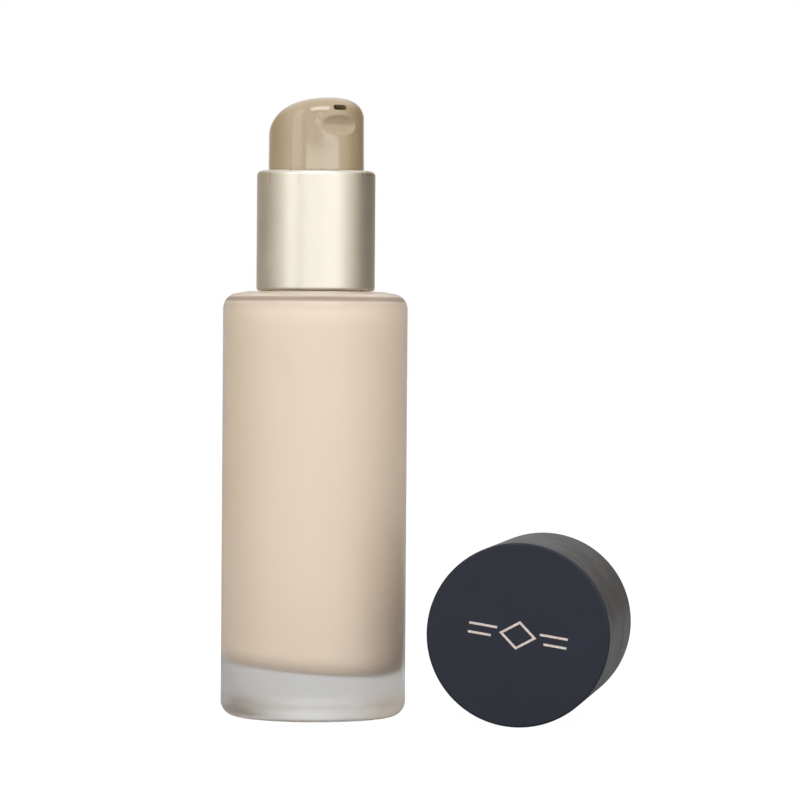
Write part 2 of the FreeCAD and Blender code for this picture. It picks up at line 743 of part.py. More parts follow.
def make_actuator_insert():
    """Plate and boss inside the button; the boss grips the stem."""
    socket = "(stem_radius + seat_gap)"
    plate_base = f"({CEILING} - insert_plate)"
    plate_radius = f"({BUTTON_BORE} - running_gap)"
    return revolve("actuator_insert", [
        (socket, BOSS_BASE),
        (f"{socket} + socket_wall", BOSS_BASE),
        (f"{socket} + socket_wall", plate_base),
        (plate_radius, plate_base),
        (plate_radius, CEILING),
        ("riser_radius", CEILING),
        ("riser_radius", f"{STEM_TOP} + running_gap"),
        (socket, f"{STEM_TOP} + running_gap"),
    ])


# ---------------------------------------------------------------- cap, drawn mouth down on Z
def lay_cap(body):
    """Lay a cap piece on its side: mouth centre as stated, side on the ground."""
    mouth_turn = FreeCAD.Rotation(FreeCAD.Vector(0, 0, 1), -size("cap_yaw"))
    closed_end = mouth_turn.multVec(FreeCAD.Vector(0, -1, 0))
    body.Placement = FreeCAD.Placement(
        FreeCAD.Vector(size("bottle_radius + cap_radius + cap_side_gap"),
                       size("cap_back"),
                       size("cap_radius")),
        FreeCAD.Rotation(FreeCAD.Vector(0, 0, 1), closed_end))


def make_cap_shell():
    shell = revolve("cap_shell", [
        (CAP_BORE, "0"),
        ("cap_radius", "0"),
        ("cap_radius", CAP_LENGTH),
        ("0", CAP_LENGTH),
        ("0", f"{CAP_LENGTH} - cap_end_wall"),
        (CAP_BORE, f"{CAP_LENGTH} - cap_end_wall"),
    ])
    for end in ("0", CAP_LENGTH):
        round_circle(shell, "cap_radius", end, "cap_edge_round")
    lay_cap(shell)
    return shell


def make_cap_liner():
    """Sleeve that grips the collar, held in the shell by a flange and ribs."""
    outer = f"({LINER_BORE} + liner_wall)"
    liner_flange_radius = f"({CAP_BORE} - seat_gap)"
    flange_top = "(liner_recess + liner_flange)"
    liner = revolve("cap_liner", [
        (LINER_BORE, "liner_recess"),
        (liner_flange_radius, "liner_recess"),
        (liner_flange_radius, flange_top),
        (outer, flange_top),
        (outer, LINER_TOP),
        (LINER_BORE, LINER_TOP),
    ])
    pad_pattern(liner, [
        (f"{outer} - root_sink", "-rib_width / 2"),
        (f"{liner_flange_radius} - root_sink", "-rib_width / 2"),
        (f"{liner_flange_radius} - root_sink", "rib_width / 2"),
        (f"{outer} - root_sink", "rib_width / 2"),
    ], "liner_recess + liner_flange / 2", "liner_length - liner_flange / 2", "rib_count")
    lay_cap(liner)
    return liner


# ---------------------------------------------------------------- build and write
nodes = [
    make_glass_bottle(),
    make_foundation_fill(),
    make_pump_housing(),
    make_neck_gasket(),
    make_dip_tube(),
    make_stem_guide(),
    make_stem_seal(),
    make_return_spring(),
    make_check_ball(),
    make_piston_seat(),
    make_piston(),
    make_stem(),
    make_screw_closure(),
    make_collar_sleeve(),
    make_actuator_button(),
    make_actuator_insert(),
    make_cap_shell(),
    make_cap_liner(),
]
doc.recompute()

for piece in doc.Objects:
    if "Invalid" in piece.State or "Error" in piece.State:
        raise RuntimeError(f"{piece.Label} failed: {piece.State}")
for node in nodes:
    shape = node.Shape
    if shape.isNull() or not shape.isValid() or len(shape.Solids) != 1:
        raise RuntimeError(f"{node.Label}: not one valid solid")
for node in nodes:
    node.Shape.exportStep(os.path.join("parts", f"{node.Label}.step"))
    print(f"{node.Label}: {node.Shape.Volume:.2f} mm3")
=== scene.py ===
# %% [markdown]
# # Foundation bottle, cap off
# A frosted glass bottle of liquid foundation stands with its pump showing, and the cap lies
# beside it on its side. The pieces with real sizes come ready made as a fixed frame, so this
# lesson is about the looks: a studio, the liquid in the glass, one finish for each material,
# and the printed ornament on the cap. Everything is in metres.

# %% Load the frame
import bpy
import json
from math import cos, pi, radians, sin
from mathutils import Matrix, Vector


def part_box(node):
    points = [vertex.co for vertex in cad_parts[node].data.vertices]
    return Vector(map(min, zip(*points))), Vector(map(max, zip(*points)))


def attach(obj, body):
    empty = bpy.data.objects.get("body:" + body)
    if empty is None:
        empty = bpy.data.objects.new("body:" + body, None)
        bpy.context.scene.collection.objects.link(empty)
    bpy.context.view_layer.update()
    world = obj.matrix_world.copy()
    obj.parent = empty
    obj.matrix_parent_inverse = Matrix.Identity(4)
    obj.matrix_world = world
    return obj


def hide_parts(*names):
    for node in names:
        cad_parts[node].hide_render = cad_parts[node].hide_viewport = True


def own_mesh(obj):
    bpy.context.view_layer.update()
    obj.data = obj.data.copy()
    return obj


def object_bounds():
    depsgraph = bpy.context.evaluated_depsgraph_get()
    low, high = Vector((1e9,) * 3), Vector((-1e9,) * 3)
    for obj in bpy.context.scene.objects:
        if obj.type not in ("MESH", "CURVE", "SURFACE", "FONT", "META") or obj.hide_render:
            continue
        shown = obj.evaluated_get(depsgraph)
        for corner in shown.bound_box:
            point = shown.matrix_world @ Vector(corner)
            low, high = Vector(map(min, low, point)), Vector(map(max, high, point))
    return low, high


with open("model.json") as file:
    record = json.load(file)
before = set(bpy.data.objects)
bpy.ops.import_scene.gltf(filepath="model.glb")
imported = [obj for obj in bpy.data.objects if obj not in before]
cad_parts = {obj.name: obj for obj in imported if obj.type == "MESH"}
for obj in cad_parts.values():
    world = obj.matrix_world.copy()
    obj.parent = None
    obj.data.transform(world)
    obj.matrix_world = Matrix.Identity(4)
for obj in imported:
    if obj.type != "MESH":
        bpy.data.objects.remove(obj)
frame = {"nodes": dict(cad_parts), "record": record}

MM = 0.001
MERGE_GAP = 0.001 * MM
SMOOTH_UNDER = radians(35)
NOISE_RANGE = (0.3, 0.7)      # where nearly all of a noise texture's values lie
scene = bpy.context.scene
cad_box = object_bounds()
bpy.ops.object.select_all(action="DESELECT")
print("frame box, mm:", [[round(c / MM, 1) for c in corner] for corner in cad_box])

# %% [markdown]
# ## The camera
# A packshot like this is taken with a long lens from about the height of the bottle's middle,
# so that upright sides stay nearly upright. The lens is kept long and the camera far off,
# instead of cropping a wide view, because perspective depends only on where the camera stands.

# %% Camera
CAMERA_PLACE = (0.0157, -0.7297, 0.0698)
CAMERA_DIP = 0.0159
CAMERA_ROLL = 0.0070
CAMERA_LENS = 178.2

camera = bpy.data.objects.new("camera", bpy.data.cameras.new("camera"))
scene.collection.objects.link(camera)
camera.location = CAMERA_PLACE
camera.rotation_mode = "ZYX"
camera.rotation_euler = (pi / 2 - CAMERA_DIP, 0, CAMERA_ROLL)
camera.data.lens = CAMERA_LENS
camera.data.clip_start = 0.05
scene.camera = camera
print("camera distance, m:", round(Vector(CAMERA_PLACE).length, 3))

# %% [markdown]
# ## The studio
# The product stands on a white sweep, lit through large diffusers, with dark surroundings off to
# each side that draw the darker bands down the metal collar. All of that is far from the
# object, so one colour for each direction is enough: the world's colour is read from a ramp by
# compass direction. The camera itself sees plain white. Area lights stand nearer: a key light
# above, a tall strip on the left, and low boards in an arc in front. The boards' sharp edges can
# be seen in the glossy button, and above them runs a narrow brighter row that makes its top edge.

# %% Node helpers
def add_node(tree, kind, **settings):
    """A new node: each setting is one of its properties, or else an input by its name."""
    made = tree.nodes.new(kind)
    for name, value in settings.items():
        if hasattr(made, name):
            setattr(made, name, value)
        else:
            made.inputs[name.replace("_", " ")].default_value = value
    return made


def ramp(tree, stops):
    """A colour ramp from (position, grey or colour) stops."""
    made = add_node(tree, "ShaderNodeValToRGB")
    points = made.color_ramp.elements
    while len(points) < len(stops):
        points.new(0.5)
    for point, (position, colour) in zip(points, stops):
        point.position = position
        point.color = (*colour, 1) if isinstance(colour, tuple) else (colour, colour, colour, 1)
    return made


# %% World
CEILING_STARTS = 0.3      # both are how far a direction points up: 0 is level, 1 is overhead
CEILING_FULL = 0.75
CEILING_GREY = 0.9
ROOM_STRENGTH = 1.3


def around(azimuth):
    """Where a compass direction is on the ramp: 0 degrees is the camera's side, 90 is +X."""
    return 0.5 + azimuth / 360


world = bpy.data.worlds.new("studio")
scene.world = world
world.use_nodes = True
tree = world.node_tree
tree.nodes.clear()
direction = add_node(tree, "ShaderNodeTexCoord")
parts = add_node(tree, "ShaderNodeSeparateXYZ")
tree.links.new(direction.outputs["Generated"], parts.inputs[0])
toward_camera = add_node(tree, "ShaderNodeMath", operation="MULTIPLY")
toward_camera.inputs[1].default_value = -1
tree.links.new(parts.outputs["Y"], toward_camera.inputs[0])
compass = add_node(tree, "ShaderNodeMath", operation="ARCTAN2")
tree.links.new(parts.outputs["X"], compass.inputs[0])
tree.links.new(toward_camera.outputs[0], compass.inputs[1])
place = add_node(tree, "ShaderNodeMapRange")
place.inputs["From Min"].default_value = -pi
place.inputs["From Max"].default_value = pi
tree.links.new(compass.outputs[0], place.inputs["Value"])

walls = ramp(tree, [
    (around(-180), 0.60),
    (around(-160), (0.46, 0.44, 0.41)),
    (around(-140), (0.33, 0.27, 0.20)),
    (around(-112), (0.36, 0.29, 0.21)),
    (around(-92), (0.56, 0.50, 0.42)),
    (around(-70), (1.05, 1.02, 0.96)),
    (around(-50), 1.10),
    (around(-2), 0.92),
    (around(54), 1.20),
    (around(70), (1.02, 0.99, 0.92)),
    (around(84), (0.60, 0.54, 0.43)),
    (around(100), (0.11, 0.085, 0.05)),
    (around(134), (0.07, 0.047, 0.027)),
    (around(150), (0.18, 0.15, 0.12)),
    (around(166), (0.46, 0.44, 0.41)),
    (around(180), 0.60),
])
tree.links.new(place.outputs[0], walls.inputs[0])
height = add_node(tree, "ShaderNodeMapRange", interpolation_type="SMOOTHSTEP")
height.inputs["From Min"].default_value = CEILING_STARTS
height.inputs["From Max"].default_value = CEILING_FULL
tree.links.new(parts.outputs["Z"], height.inputs["Value"])
room = add_node(tree, "ShaderNodeMix", data_type="RGBA")
room.inputs["B"].default_value = (CEILING_GREY, CEILING_GREY, CEILING_GREY, 1)
tree.links.new(height.outputs[0], room.inputs["Factor"])
tree.links.new(walls.outputs[0], room.inputs["A"])
lit = add_node(tree, "ShaderNodeBackground", Strength=ROOM_STRENGTH)
tree.links.new(room.outputs["Result"], lit.inputs["Color"])
seen = add_node(tree, "ShaderNodeBackground", Color=(1, 1, 1, 1), Strength=1.0)
ray = add_node(tree, "ShaderNodeLightPath")
choice = add_node(tree, "ShaderNodeMixShader")
tree.links.new(ray.outputs["Is Camera Ray"], choice.inputs[0])
tree.links.new(lit.outputs[0], choice.inputs[1])
tree.links.new(seen.outputs[0], choice.inputs[2])
output = add_node(tree, "ShaderNodeOutputWorld")
tree.links.new(choice.outputs[0], output.inputs["Surface"])
scene.view_settings.view_transform = "Standard"
print("world:", len(walls.color_ramp.elements), "wall colours, strength", ROOM_STRENGTH)

# %% Lights
LIGHT_REACH = 0.9
BOARD_WIDTH = 0.301       # 19 degrees of the arc at LIGHT_REACH
BOARDS = ((-13.5, 1.35), (5.8, 1.05), (25.1, 1.3), (44.4, 1.3))      # azimuth and radiance


def hang(name, azimuth, height, width, tall, radiance, tilt=0, lean=0):
    """A flat light at LIGHT_REACH from the axis, tilted down towards it; all angles in degrees."""
    light = bpy.data.lights.new(name, "AREA")
    light.shape = "RECTANGLE"
    light.size = width
    light.size_y = tall
    light.energy = radiance * pi * width * tall
    lamp = bpy.data.objects.new(name, light)
    scene.collection.objects.link(lamp)
    turn = radians(azimuth)
    place = Vector((LIGHT_REACH * sin(turn), -LIGHT_REACH * cos(turn), height))
    lamp.matrix_world = (Matrix.Translation(place) @ Matrix.Rotation(turn, 4, "Z")
                         @ Matrix.Rotation(pi / 2 - radians(tilt), 4, "X")
                         @ Matrix.Rotation(radians(lean), 4, "Z"))
    lamp.visible_camera = False
    print(f"{name}: {width:.2f} x {tall:.2f} m, {light.energy:.1f} W")


hang("left_strip", azimuth=-47, height=0.45, width=0.40, tall=0.90, radiance=0.75, lean=2)
hang("key", azimuth=8, height=0.80, width=0.90, tall=0.50, radiance=3.6, tilt=40)
for number, (azimuth, radiance) in enumerate(BOARDS):
    hang(f"low_board_{number}", azimuth, height=0.068, width=BOARD_WIDTH, tall=0.136, radiance=radiance)
    hang(f"bright_edge_{number}", azimuth, height=0.154, width=BOARD_WIDTH, tall=0.012, radiance=2.6)

# %% Floor
FLOOR_HALF = 6.0
FLOOR_DROP = 0.02 * MM
FLOOR_GLOW = 0.98         # what the camera sees, just under white
FLOOR_FAINT = 0.06        # lets a trace of shadow show on the glow
FLOOR_BOUNCE = 0.46       # what the object is lit by and mirrors

bpy.ops.mesh.primitive_plane_add(size=2 * FLOOR_HALF, location=(0, 0, cad_box[0].z - FLOOR_DROP))
floor = bpy.context.object
floor.name = "floor"
bpy.ops.object.transform_apply(location=True, rotation=True, scale=True)
paper = bpy.data.materials.new("white sweep")
paper.use_nodes = True
tree = paper.node_tree
tree.nodes.clear()
glow = add_node(tree, "ShaderNodeEmission", Color=(1, 1, 1, 1), Strength=FLOOR_GLOW)
matt = add_node(tree, "ShaderNodeBsdfDiffuse", Color=(FLOOR_BOUNCE, FLOOR_BOUNCE, FLOOR_BOUNCE, 1))
seen = add_node(tree, "ShaderNodeAddShader")
ray = add_node(tree, "ShaderNodeLightPath")
choice = add_node(tree, "ShaderNodeMixShader")
output = add_node(tree, "ShaderNodeOutputMaterial")
faint = add_node(tree, "ShaderNodeBsdfDiffuse", Color=(FLOOR_FAINT, FLOOR_FAINT, FLOOR_FAINT, 1))
tree.links.new(glow.outputs[0], seen.inputs[0])
tree.links.new(faint.outputs[0], seen.inputs[1])
tree.links.new(ray.outputs["Is Camera Ray"], choice.inputs[0])
tree.links.new(matt.outputs[0], choice.inputs[1])
tree.links.new(seen.outputs[0], choice.inputs[2])
tree.links.new(choice.outputs[0], output.inputs["Surface"])
floor.data.materials.append(paper)
print("floor, m:", 2 * FLOOR_HALF, "square")

# %% [markdown]
# ## The liquid
# Foundation is an opaque emulsion that wets the glass, so no air lies between them. The frame's
# fill stops just short of the wall, and that sliver of air would mirror light at the glass's
# inner face. It could be turned again from a cylinder, but the cavity's floor slants and its
# corners are rounded, so a copy of the fill is simpler: its outer faces are pushed out by a hair,
# until they overlap the glass.

# %% Mesh helpers
def start_piece(name):
    """Names the primitive that was just added and goes into edit mode on it."""
    piece = bpy.context.object
    piece.name = name
    piece.data.name = name
    bpy.ops.object.mode_set(mode="EDIT")
    return piece


def start_copy(name, node_name):
    """Copies a node's mesh into a new piece and goes into edit mode on it, merged."""
    bpy.ops.object.select_all(action="DESELECT")
    copied = bpy.data.objects.new(name, frame["nodes"][node_name].data.copy())
    scene.collection.objects.link(copied)
    copied.select_set(True)
    bpy.context.view_layer.objects.active = copied
    piece = start_piece(name)
    bpy.ops.mesh.select_all(action="SELECT")
    bpy.ops.mesh.remove_doubles(threshold=MERGE_GAP)
    return piece


def pick(piece, wanted):
    """Selects only the faces of the piece being edited that pass the test."""
    bpy.ops.mesh.select_mode(type="FACE")
    bpy.ops.mesh.select_all(action="DESELECT")
    bpy.ops.object.mode_set(mode="OBJECT")
    for face in piece.data.polygons:
        points = [piece.data.vertices[v].co for v in face.vertices]
        middle = sum(points, Vector()) / len(points)
        face.select = bool(wanted(face, middle))
    bpy.ops.object.mode_set(mode="EDIT")


def end_piece(piece, body, slot, material, *stands_for):
    """Merges doubles, turns the faces outwards, applies the place and puts the piece on a body."""
    bpy.ops.mesh.select_all(action="SELECT")
    bpy.ops.mesh.remove_doubles(threshold=MERGE_GAP)
    bpy.ops.mesh.normals_make_consistent(inside=False)
    bpy.ops.object.mode_set(mode="OBJECT")
    bpy.ops.object.transform_apply(location=True, rotation=True, scale=True)
    bpy.ops.object.shade_smooth_by_angle(angle=SMOOTH_UNDER)
    piece.data.materials.clear()
    piece.data.materials.append(material)
    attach(piece, body)
    if stands_for:
        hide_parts(*stands_for)
    bpy.ops.object.select_all(action="DESELECT")
    print(piece.name, "faces:", len(piece.data.polygons))


def new_material(name):
    """An empty node material and its output node."""
    material = bpy.data.materials.new(name)
    material.use_nodes = True
    material.node_tree.nodes.clear()
    return material, add_node(material.node_tree, "ShaderNodeOutputMaterial")


def coat(material, *nodes):
    """Gives a finish to some of the frame's nodes."""
    for name in nodes:
        frame["nodes"][name].material_slots[0].material = material


def grain(tree, scale, detail=3.0, stretch=(1, 1, 1)):
    """Noise in the piece's own metres: scale is how many lumps there are to a metre."""
    where = add_node(tree, "ShaderNodeTexCoord")
    turned = add_node(tree, "ShaderNodeMapping")
    turned.inputs["Scale"].default_value = stretch
    noise = add_node(tree, "ShaderNodeTexNoise", Scale=scale, Detail=detail)
    tree.links.new(where.outputs["Object"], turned.inputs["Vector"])
    tree.links.new(turned.outputs[0], noise.inputs["Vector"])
    return noise


def spread(tree, source, low, high):
    """Maps a 0 to 1 value onto a narrower range."""
    made = add_node(tree, "ShaderNodeMapRange")
    made.inputs["From Min"].default_value = NOISE_RANGE[0]
    made.inputs["From Max"].default_value = NOISE_RANGE[1]
    made.inputs["To Min"].default_value = low
    made.inputs["To Max"].default_value = high
    tree.links.new(source, made.inputs["Value"])
    return made.outputs[0]


def blend_colours(tree, factor, first, second):
    """A colour that goes from first to second with the factor."""
    made = add_node(tree, "ShaderNodeMix", data_type="RGBA")
    made.inputs["A"].default_value = (*first, 1)
    made.inputs["B"].default_value = (*second, 1)
    tree.links.new(factor, made.inputs["Factor"])
    return made.outputs["Result"]


def bumps(tree, height, depth, strength=1.0):
    """A bump from a height map: depth is how far its full range rises."""
    made = add_node(tree, "ShaderNodeBump", Strength=strength, Distance=depth)
    tree.links.new(height, made.inputs["Height"])
    return made.outputs[0]


# %% Liquid finish
def make_foundation():
    material, output = new_material("foundation")
    tree = material.node_tree
    shader = add_node(tree, "ShaderNodeBsdfPrincipled", Roughness=0.45)
    clouds = grain(tree, 90, 4, stretch=(1, 1, 0.6))
    colour = blend_colours(tree, spread(tree, clouds.outputs[0], 0, 1),
                           (0.93, 0.745, 0.57), (0.95, 0.77, 0.59))
    tree.links.new(colour, shader.inputs["Base Color"])
    tree.links.new(shader.outputs[0], output.inputs["Surface"])
    return material


foundation = make_foundation()
print("made", foundation.name)

# %% Liquid
WETTING = 0.10 * MM
TUBE_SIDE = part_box("dip_tube")[1].x + 1 * MM


def faces_glass(face, middle):
    """True for a face that looks away from the axis, or along it, outside the tube's bore."""
    return face.normal.xy.dot(middle.xy) > -1e-9 and middle.xy.length > TUBE_SIDE


liquid = start_copy("liquid", "foundation_fill")
pick(liquid, faces_glass)
bpy.ops.transform.shrink_fatten(value=WETTING)
end_piece(liquid, "bottle", "foundation", foundation, "foundation_fill")

# %% [markdown]
# ## Frosted glass
# The outside was etched with acid, so light scatters as it crosses it, while the inner wall
# is smooth. One closed shell of glass with a rough surface does both: a piece right behind
# the wall stays fairly clear, and one further back blurs. A little white haze lifts the dark
# parts, as the etched skin does. The thick shoulder bends light into a thin dark line near its top;
# that line is painted shade, a dark ring drawn into the haze's colour.

# %% Glass finish
FILL_SIDE, FILL_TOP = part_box("foundation_fill")[1].x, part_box("foundation_fill")[1].z
LINE_HEIGHT = FILL_TOP + 0.62 * MM
RING_STARTS = FILL_SIDE + 1 * MM      # past the inner wall, so only the outer face has the line
HAZE = 0.05
LINE_HAZE = 0.60
LINE_HALF = 0.22 * MM
LINE_SOFT = 0.55 * MM


def painted_shoulder_shade(tree):
    """Painted shade mask: 1 on a thin ring round the outer shoulder, fading to 0 above and below it."""
    where = add_node(tree, "ShaderNodeTexCoord")
    split = add_node(tree, "ShaderNodeSeparateXYZ")
    tree.links.new(where.outputs["Object"], split.inputs[0])
    level = add_node(tree, "ShaderNodeMath", operation="SUBTRACT")
    level.inputs[1].default_value = LINE_HEIGHT
    away = add_node(tree, "ShaderNodeMath", operation="ABSOLUTE")
    fade = add_node(tree, "ShaderNodeMapRange", interpolation_type="SMOOTHSTEP")
    fade.inputs["From Min"].default_value = LINE_HALF + LINE_SOFT
    fade.inputs["From Max"].default_value = LINE_HALF
    flat = add_node(tree, "ShaderNodeVectorMath", operation="MULTIPLY")
    flat.inputs[1].default_value = (1, 1, 0)
    radius = add_node(tree, "ShaderNodeVectorMath", operation="LENGTH")
    outside = add_node(tree, "ShaderNodeMath", operation="GREATER_THAN")
    outside.inputs[1].default_value = RING_STARTS
    ring = add_node(tree, "ShaderNodeMath", operation="MULTIPLY")
    tree.links.new(split.outputs["Z"], level.inputs[0])
    tree.links.new(level.outputs[0], away.inputs[0])
    tree.links.new(away.outputs[0], fade.inputs["Value"])
    tree.links.new(where.outputs["Object"], flat.inputs[0])
    tree.links.new(flat.outputs[0], radius.inputs[0])
    tree.links.new(radius.outputs["Value"], outside.inputs[0])
    tree.links.new(fade.outputs[0], ring.inputs[0])
    tree.links.new(outside.outputs[0], ring.inputs[1])
    return ring.outputs[0]


def make_frosted_glass():
    material, output = new_material("frosted glass")
    tree = material.node_tree
    glass = add_node(tree, "ShaderNodeBsdfPrincipled", IOR=1.45, Transmission_Weight=1.0)
    glass.inputs["Base Color"].default_value = (0.955, 0.96, 0.965, 1)
    frost = grain(tree, 6000, 2)
    drift = grain(tree, 300, 2)
    tree.links.new(spread(tree, drift.outputs[0], 0.29, 0.34), glass.inputs["Roughness"])
    tree.links.new(bumps(tree, frost.outputs[0], 0.01 * MM, 0.3), glass.inputs["Normal"])
    skin = add_node(tree, "ShaderNodeBsdfPrincipled", Roughness=0.7)
    line = painted_shoulder_shade(tree)
    # painted shade: on the shoulder ring the skin turns dark brown and thicker, standing in for the
    # dark line that refraction makes
    tree.links.new(blend_colours(tree, line, (0.80, 0.79, 0.78), (0.17, 0.11, 0.085)),
                   skin.inputs["Base Color"])
    amount = add_node(tree, "ShaderNodeMapRange")
    amount.inputs["To Min"].default_value = HAZE
    amount.inputs["To Max"].default_value = LINE_HAZE
    tree.links.new(line, amount.inputs["Value"])
    both = add_node(tree, "ShaderNodeMixShader")
    tree.links.new(amount.outputs[0], both.inputs[0])
    tree.links.new(glass.outputs[0], both.inputs[1])
    tree.links.new(skin.outputs[0], both.inputs[2])
    tree.links.new(both.outputs[0], output.inputs["Surface"])
    return material


coat(make_frosted_glass(), "glass_bottle")

# %% [markdown]
# ## Champagne metal
# The collar is a drawn aluminium sleeve with a satin, champagne anodised surface. Satin is
# a middle roughness with a very fine grain. Its edges have rubbed against the cap, so
# short fine marks cross the top rim.

# %% Metal finish
COLLAR_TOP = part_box("collar_sleeve")[1].z
RUB_STARTS = 3 * MM       # both are depths below the collar's top
RUB_FULL = 0.5 * MM


def marks(tree, scale, stretch, start, full):
    """Sparse marks: 0 where a stretched noise is under start, 1 where it is over full."""
    noise = grain(tree, scale, 2, stretch)
    made = add_node(tree, "ShaderNodeMapRange")
    made.inputs["From Min"].default_value = start
    made.inputs["From Max"].default_value = full
    tree.links.new(noise.outputs[0], made.inputs["Value"])
    return made.outputs[0]


def between(tree, axis, start, full):
    """0 below start and 1 above full along one of the piece's axes."""
    where = add_node(tree, "ShaderNodeTexCoord")
    split = add_node(tree, "ShaderNodeSeparateXYZ")
    made = add_node(tree, "ShaderNodeMapRange", interpolation_type="SMOOTHSTEP")
    made.inputs["From Min"].default_value = start
    made.inputs["From Max"].default_value = full
    tree.links.new(where.outputs["Object"], split.inputs[0])
    tree.links.new(split.outputs[axis], made.inputs["Value"])
    return made.outputs[0]


def make_champagne():
    material, output = new_material("champagne metal")
    tree = material.node_tree
    shader = add_node(tree, "ShaderNodeBsdfPrincipled", Metallic=1.0)
    satin = grain(tree, 5000, 2)
    patches = grain(tree, 160, 4)
    tree.links.new(spread(tree, patches.outputs[0], 0.33, 0.39), shader.inputs["Roughness"])
    colour = blend_colours(tree, spread(tree, patches.outputs[0], 0, 1),
                           (0.61, 0.575, 0.495), (0.65, 0.61, 0.52))
    rubbed = marks(tree, 1300, (1, 1, 0.10), 0.62, 0.69)
    near_rim = between(tree, "Z", COLLAR_TOP - RUB_STARTS, COLLAR_TOP - RUB_FULL)
    worn = add_node(tree, "ShaderNodeMath", operation="MULTIPLY")
    tree.links.new(rubbed, worn.inputs[0])
    tree.links.new(near_rim, worn.inputs[1])
    mixed = add_node(tree, "ShaderNodeMix", data_type="RGBA")
    mixed.inputs["B"].default_value = (0.42, 0.32, 0.21, 1)
    tree.links.new(worn.outputs[0], mixed.inputs["Factor"])
    tree.links.new(colour, mixed.inputs["A"])
    colour = mixed.outputs["Result"]
    tree.links.new(colour, shader.inputs["Base Color"])
    tree.links.new(bumps(tree, satin.outputs[0], 0.004 * MM, 0.4), shader.inputs["Normal"])
    tree.links.new(shader.outputs[0], output.inputs["Surface"])
    return material


coat(make_champagne(), "collar_sleeve")

# %% [markdown]
# ## The button
# The actuator is moulded in glossy tan plastic. It is a dielectric: its colour comes from
# inside, and the lights' reflections lie white on top.

# %% Button finish
def make_tan():
    material, output = new_material("tan plastic")
    tree = material.node_tree
    shader = add_node(tree, "ShaderNodeBsdfPrincipled", Roughness=0.14, Coat_Weight=0.9,
                      Coat_Roughness=0.04, Coat_IOR=1.55)
    flow = grain(tree, 220, 3, stretch=(1, 1, 0.35))
    colour = blend_colours(tree, spread(tree, flow.outputs[0], 0, 1),
                           (0.295, 0.22, 0.13), (0.33, 0.248, 0.148))
    tree.links.new(colour, shader.inputs["Base Color"])
    ripple = grain(tree, 130, 2)
    tree.links.new(bumps(tree, ripple.outputs[0], 0.02 * MM, 0.15), shader.inputs["Normal"])
    tree.links.new(shader.outputs[0], output.inputs["Surface"])
    return material


coat(make_tan(), "actuator_button")

# %% [markdown]
# ## The cap
# The cap is blue-black with a fine matt surface. Seen square on it is nearly black, and at a
# grazing angle it turns a satin grey, which the shader's own reflection does. Its side is also
# painted a greyer black than its end: a painted sheen that adds to that grazing grey.

# %% Cap finish
SIDE_STARTS = 0.15 * MM   # both are depths behind the cap's end
SIDE_FULL = 1.2 * MM
MOUNTS = {mount["name"]: mount for mount in frame["record"]["mounts"]}
socket = MOUNTS["cap_socket"]
cap_out = -Vector(socket["axis"]).normalized()
cap_centre = Vector(socket["pos_m"])
shell_points = [v.co for v in frame["nodes"]["cap_shell"].data.vertices]
face_reach = max((point - cap_centre).dot(cap_out) for point in shell_points)
face_centre = cap_centre + face_reach * cap_out
print("cap face centre, mm:", [round(c / MM, 2) for c in face_centre])


def make_cap_black():
    material, output = new_material("cap black")
    tree = material.node_tree
    shader = add_node(tree, "ShaderNodeBsdfPrincipled", Specular_IOR_Level=0.28)
    where = add_node(tree, "ShaderNodeTexCoord")
    turned = add_node(tree, "ShaderNodeMapping", vector_type="TEXTURE")
    turned.inputs["Location"].default_value = face_centre
    turned.inputs["Rotation"].default_value = cap_out.to_track_quat("Z", "Y").to_euler()
    tree.links.new(where.outputs["Object"], turned.inputs["Vector"])
    speckle = add_node(tree, "ShaderNodeTexNoise", Scale=2500, Detail=2)
    tree.links.new(turned.outputs[0], speckle.inputs["Vector"])
    patches = add_node(tree, "ShaderNodeTexNoise", Scale=140, Detail=4)
    tree.links.new(turned.outputs[0], patches.inputs["Vector"])
    colour = blend_colours(tree, spread(tree, patches.outputs[0], 0, 1),
                           (0.0055, 0.0075, 0.0165), (0.0075, 0.0095, 0.0195))
    behind = add_node(tree, "ShaderNodeSeparateXYZ")
    tree.links.new(turned.outputs[0], behind.inputs[0])
    # painted sheen: behind the end the colour fades to a lighter, greyer black, standing in for the
    # grey that grazing reflection gives the side
    painted_side_sheen = add_node(tree, "ShaderNodeMapRange", interpolation_type="SMOOTHSTEP")
    painted_side_sheen.inputs["From Min"].default_value = -SIDE_STARTS
    painted_side_sheen.inputs["From Max"].default_value = -SIDE_FULL
    tree.links.new(behind.outputs["Z"], painted_side_sheen.inputs["Value"])
    sides = add_node(tree, "ShaderNodeMix", data_type="RGBA")
    sides.inputs["B"].default_value = (0.020, 0.0205, 0.023, 1)
    tree.links.new(painted_side_sheen.outputs[0], sides.inputs["Factor"])
    tree.links.new(colour, sides.inputs["A"])
    tree.links.new(sides.outputs["Result"], shader.inputs["Base Color"])
    tree.links.new(spread(tree, patches.outputs[0], 0.42, 0.52), shader.inputs["Roughness"])
    tree.links.new(bumps(tree, speckle.outputs[0], 0.006 * MM, 0.5), shader.inputs["Normal"])
    tree.links.new(shader.outputs[0], output.inputs["Surface"])
    return material


coat(make_cap_black(), "cap_shell")

# %% [markdown]
# ## The foil ornament
# A hot-foil print decorates the closed end of the cap. Here it is a plain lozenge between two
# pairs of lines. Foil is thin but not flat like paint, so it is a very thin raised solid that
# catches the light.

# %% Foil finish
def make_foil():
    material, output = new_material("foil")
    tree = material.node_tree
    shader = add_node(tree, "ShaderNodeBsdfPrincipled", Metallic=1.0)
    crinkle = grain(tree, 2500, 3)
    colour = blend_colours(tree, spread(tree, crinkle.outputs[0], 0, 1),
                           (0.46, 0.39, 0.37), (0.66, 0.58, 0.54))
    tree.links.new(colour, shader.inputs["Base Color"])
    tree.links.new(spread(tree, crinkle.outputs[0], 0.28, 0.45), shader.inputs["Roughness"])
    tree.links.new(shader.outputs[0], output.inputs["Surface"])
    return material


